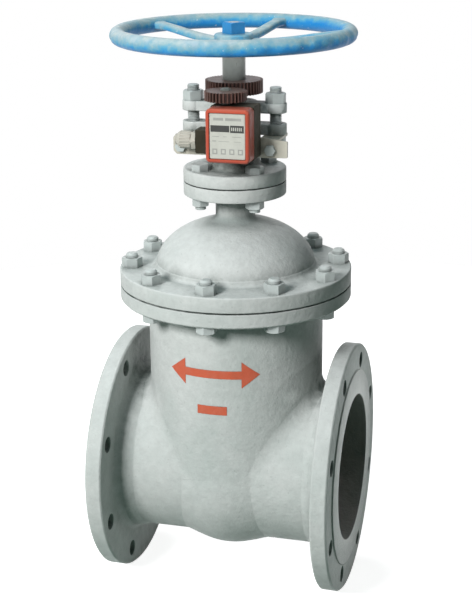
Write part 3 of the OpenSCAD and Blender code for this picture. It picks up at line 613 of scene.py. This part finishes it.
# Handwheel: one iron casting, a round rim with finger hollows, five dished spokes and a hub. It is in blue
# enamel, worn pale in patches, with a painted highlight along the top, most on the left, and painted shade
# keeping the right deep blue; a square nut holds it.
BLUE = surface("wheel_blue", (0.03, 0.25, 0.58), (0.09, 0.34, 0.56), (0.02, 0.06, 0.11), 0.42,
               speck=(0.50, 0.57, 0.57), amounts=(0.3, 0.5, 0.0, 0.45), scale=34.0, mottle=0.2, shine=0.3)
WHEEL_Z = 586.5
RIM_R, RIM_THICK = 148.75, 10.25
HOLLOWS, HOLLOW_DEPTH, HOLLOW_HALF = 22, 1.6, 0.24
RIM_ROWS, RIM_COLS = 440, 28
SPOKES, FIRST_SPOKE = 5, 7
SPOKE_ROWS, SPOKE_COLS = 40, 24
SPOKE_START, SPOKE_LENGTH, SPOKE_DISH = 14, 132, 11
SPOKE_WIDE, SPOKE_THICK = 8.3, 4.6
tree = BLUE.node_tree
# Painted highlight and shade: the top and left of the wheel are painted pale and the right kept deep blue,
# with worn patches from noise.
wear_and_light = tree.nodes.new("ShaderNodeAttribute")
wear_and_light.attribute_name = "wear_and_light"
shade_on_right = maths(tree, "MULTIPLY", between(tree, position(tree)["X"], 0.16, 0.27), 0.24)
chips_and_light = maths(tree, "MULTIPLY_ADD", noise(tree, 70.0, 7.0, 0.66), 1.1, wear_and_light.outputs["Fac"])
pale_from_wear_and_light = maths(tree, "SUBTRACT", chips_and_light, shade_on_right)
wheel_wear_and_light_colour = tint(tree, between(tree, pale_from_wear_and_light, 0.72, 1.0), (0.014, 0.215, 0.55), (0.085, 0.325, 0.475))
wheel_wear_and_light_colour = tint(tree, between(tree, pale_from_wear_and_light, 0.95, 1.2), wheel_wear_and_light_colour, (0.245, 0.38, 0.41))
wheel_wear_and_light_colour = tint(tree, between(tree, pale_from_wear_and_light, 1.2, 1.5), wheel_wear_and_light_colour, (0.43, 0.49, 0.48))
tree.links.new(wheel_wear_and_light_colour, tree.nodes["Mix"].inputs["A"])


def wheel_rim():
    """A ring of round section; on its outer side the section is shallower in hollows, each a parabola along
    the rim. Returns the points in millimetres and a value for each that rises towards the top of the section,
    for wear and a painted highlight."""
    t = np.linspace(0, 2 * np.pi, RIM_ROWS, endpoint=False)[:, None]
    b = np.linspace(0, 2 * np.pi, RIM_COLS, endpoint=False)
    along = np.abs((t * HOLLOWS / (2 * np.pi)) % 1 - 0.5) / HOLLOW_HALF
    hollow = HOLLOW_DEPTH * np.clip(1 - along ** 2, 0, 1) * np.clip(np.cos(b), 0, 1)
    r = RIM_R + (RIM_THICK - hollow) * np.cos(b)
    v = np.stack([AXIS + r * np.cos(t), r * np.sin(t), WHEEL_Z + RIM_THICK * np.sin(b) + 0 * t], -1)
    return v.reshape(-1, 3), (0.42 + 0.48 * np.sin(b) + 0.14 * np.cos(b) + 0 * t).ravel()


def wheel_spoke(turn):
    """A flat oval section carried outwards along a cosine dip, widening into the hub and the rim. Returns
    the points in millimetres and a value for each that rises towards the top, for wear and a painted
    highlight."""
    s = np.linspace(0, 1, SPOKE_ROWS)[:, None]
    q = np.linspace(0, 2 * np.pi, SPOKE_COLS, endpoint=False)
    far = SPOKE_START + SPOKE_LENGTH * s
    drop = -SPOKE_DISH * (1 + np.cos(np.pi * s ** 1.3)) / 2
    wide = SPOKE_WIDE + 7 * np.clip(1 - (1 - s) / 0.16, 0, 1) ** 2 + 5 * np.clip(1 - s / 0.2, 0, 1) ** 2
    thick = SPOKE_THICK + 1.5 * np.clip(1 - (1 - s) / 0.2, 0, 1) ** 2
    u = wide * np.sign(np.cos(q)) * np.abs(np.cos(q)) ** 0.55
    w = drop + thick * np.sign(np.sin(q)) * np.abs(np.sin(q)) ** 0.7
    x = AXIS + far * math.cos(turn) - u * math.sin(turn)
    y = far * math.sin(turn) + u * math.cos(turn)
    return np.stack([x, y, WHEEL_Z + w], -1).reshape(-1, 3), (0.5 + 0.3 * np.sin(q) + 0 * s).ravel()


v, wear_light_value = wheel_rim()
vs, fs, wear_light_values, base = [v], [grid_faces(RIM_ROWS, RIM_COLS, True, True)], [wear_light_value], len(v)
for k in range(SPOKES):
    v, wear_light_value = wheel_spoke(math.radians(FIRST_SPOKE + 360 / SPOKES * k))
    vs.append(v)
    fs.append(grid_faces(SPOKE_ROWS, SPOKE_COLS, False, True, base))
    wear_light_values.append(wear_light_value)
    base += len(v)
hub_line = [[(8.1, 0), (22.5, 0)], arc(22.5, -2.5, 2.5, 90, 0), arc(23, -19, 2, 0, -90), [(8.1, -21)]]
v, f = lathe(np.concatenate(hub_line) + (0, WHEEL_Z), 96)
vs.append(v * 1000)
fs.append(f + base)
wear_light_values.append(np.full(len(v), 0.6))
verts, faces = np.concatenate(vs) / 1000, np.concatenate(fs)
wheel = add_mesh("wheel_casting", verts, faces, BLUE, "wheel_train", 45, ["handwheel"])
wheel.data.attributes.new("wear_and_light", "FLOAT", "POINT").data.foreach_set("value", np.concatenate(wear_light_values))
NUT = surface("nut_blue", (0.024, 0.22, 0.50), (0.05, 0.26, 0.50), (0.02, 0.05, 0.09), 0.42,
              scale=40.0, shine=0.3)
dress(NUT, "blue_paint", "wheel_nut")
soften(0.0012, "wheel_nut")

# Stage: a pale round floor under the valve and an even white ground behind it. The eye and mirror rays see
# them white, the floor a little less in the shadow. For all other rays they are dull, so they light the
# valve little.
FLOOR_R, FLOOR_Z = 1.6, -0.17
FLOOR_SIDES = 96


def white_to_eye(tree, plain, white, output):
    """Sends the white shader to camera, glossy and transmission rays, and the plain one to the rest."""
    path = tree.nodes.new("ShaderNodeLightPath").outputs
    seen = maths(tree, "MAXIMUM", path["Is Camera Ray"], path["Is Glossy Ray"])
    seen = maths(tree, "MAXIMUM", seen, path["Is Transmission Ray"])
    pick = tree.nodes.new("ShaderNodeMixShader")
    tree.links.new(seen, pick.inputs["Fac"])
    tree.links.new(plain, pick.inputs[1])
    tree.links.new(white, pick.inputs[2])
    tree.links.new(pick.outputs["Shader"], tree.nodes[output].inputs["Surface"])


a = np.linspace(0, 2 * np.pi, FLOOR_SIDES, endpoint=False)
verts = np.stack([STEM_X + FLOOR_R * np.cos(a), FLOOR_R * np.sin(a), 0 * a + FLOOR_Z], -1)
mesh = bpy.data.meshes.new("floor")
mesh.from_pydata(verts.tolist(), [], [list(range(FLOOR_SIDES))])
floor = bpy.data.objects.new("floor", mesh)
bpy.context.collection.objects.link(floor)
floor_paint = bpy.data.materials.new("floor")
floor_paint.use_nodes = True
tree = floor_paint.node_tree
plain = tree.nodes["Principled BSDF"]
plain.inputs["Base Color"].default_value = (0.13, 0.21, 0.175, 1)
plain.inputs["Roughness"].default_value = 0.9
glow = tree.nodes.new("ShaderNodeEmission")
glow.inputs["Color"].default_value = (1, 1, 1, 1)
glow.inputs["Strength"].default_value = 0.9
chalk = tree.nodes.new("ShaderNodeBsdfDiffuse")
chalk.inputs["Color"].default_value = (0.6, 0.6, 0.6, 1)
both = tree.nodes.new("ShaderNodeAddShader")
tree.links.new(glow.outputs["Emission"], both.inputs[0])
tree.links.new(chalk.outputs["BSDF"], both.inputs[1])
white_to_eye(tree, plain.outputs["BSDF"], both.outputs["Shader"], "Material Output")
mesh.materials.append(floor_paint)
scene = bpy.context.scene
scene.world = bpy.data.worlds.new("studio")
scene.world.use_nodes = True
tree = scene.world.node_tree
dim = tree.nodes["Background"]
dim.inputs["Color"].default_value = (0.62, 1.0, 0.88, 1)
dim.inputs["Strength"].default_value = 0.035
white = tree.nodes.new("ShaderNodeBackground")
white.inputs["Color"].default_value = (1, 1, 1, 1)
white_to_eye(tree, dim.outputs["Background"], white.outputs["Background"], "World Output")

# Lamps: a soft key from the front left, a broad cool one overhead and one behind for the far side. Two
# small narrow ones from the right light the outlet flange's face and the works above the bonnet.
MIDDLE = (STEM_X, 0, 0.25)


def stand(thing, x, y, z, place):
    """Sets an object's axes and place."""
    thing.matrix_world = Matrix([[x[i], y[i], z[i], place[i]] for i in range(3)] + [[0, 0, 0, 1]])


def lamp(name, place, target, size, power, spread=180.0):
    """A square area lamp at a place, looking at a target, its light kept within a spread in degrees."""
    light = bpy.data.lights.new(name, "AREA")
    light.size = size
    light.energy = power
    light.spread = math.radians(spread)
    holder = bpy.data.objects.new(name, light)
    bpy.context.collection.objects.link(holder)
    z = np.array(place, float) - np.array(target, float)
    z /= np.linalg.norm(z)
    x = np.cross((0, 0, 1), z)
    x /= np.linalg.norm(x)
    stand(holder, x, np.cross(z, x), z, place)
    return holder


lamp("key", (-0.70, -2.28, 1.541), MIDDLE, 0.8, 94.0).visible_glossy = False
lamp("sky", (-0.35, -0.3, 2.3), (STEM_X, 0, 0.2), 1.8, 12.0).data.color = (0.80, 1.0, 0.99)
lamp("back", (-0.75, 2.25, 1.80), MIDDLE, 0.8, 36.0).visible_glossy = False
lamp("side", (1.02, 0.15, 0.25), (0.33, 0, 0.02), 0.14, 0.10, 20.0)
lamp("fill", (1.6, -0.6, 1.2), (0.23, -0.03, 0.60), 0.2, 0.06, 12.0)

# Camera: fitted to the flanges, joints and rim in the photo, 2 m off with a long lens, a little tilted.
# Its focal length is in pixels of the photo's height.
AZIMUTH, ELEVATION, TILT, ROLL = (math.radians(v) for v in (15.68, 24.03, 6.44, 0.51))
CAMERA_OFF = 1.97782
FOCAL_PIXELS, PHOTO_HEIGHT, SENSOR = 1395.71, 593, 36.0
level = math.cos(ELEVATION)
back = np.array([math.sin(AZIMUTH) * level, -math.cos(AZIMUTH) * level, math.sin(ELEVATION)])
ahead = -back
right = np.cross(ahead, (0, 0, 1))
right /= np.linalg.norm(right)
up = np.cross(right, ahead)
c, s = math.cos(TILT), math.sin(TILT)
ahead, up = ahead * c + up * s, up * c - ahead * s
c, s = math.cos(ROLL), math.sin(ROLL)
right, up = right * c - up * s, up * c + right * s
camera = bpy.data.cameras.new("camera")
camera.sensor_width = SENSOR
camera.lens = FOCAL_PIXELS / PHOTO_HEIGHT * SENSOR
eye = bpy.data.objects.new("camera", camera)
bpy.context.collection.objects.link(eye)
stand(eye, right, up, -ahead, np.array([STEM_X, 0, 0]) + back * CAMERA_OFF)
scene.camera = eye
scene.view_settings.view_transform = "Standard"
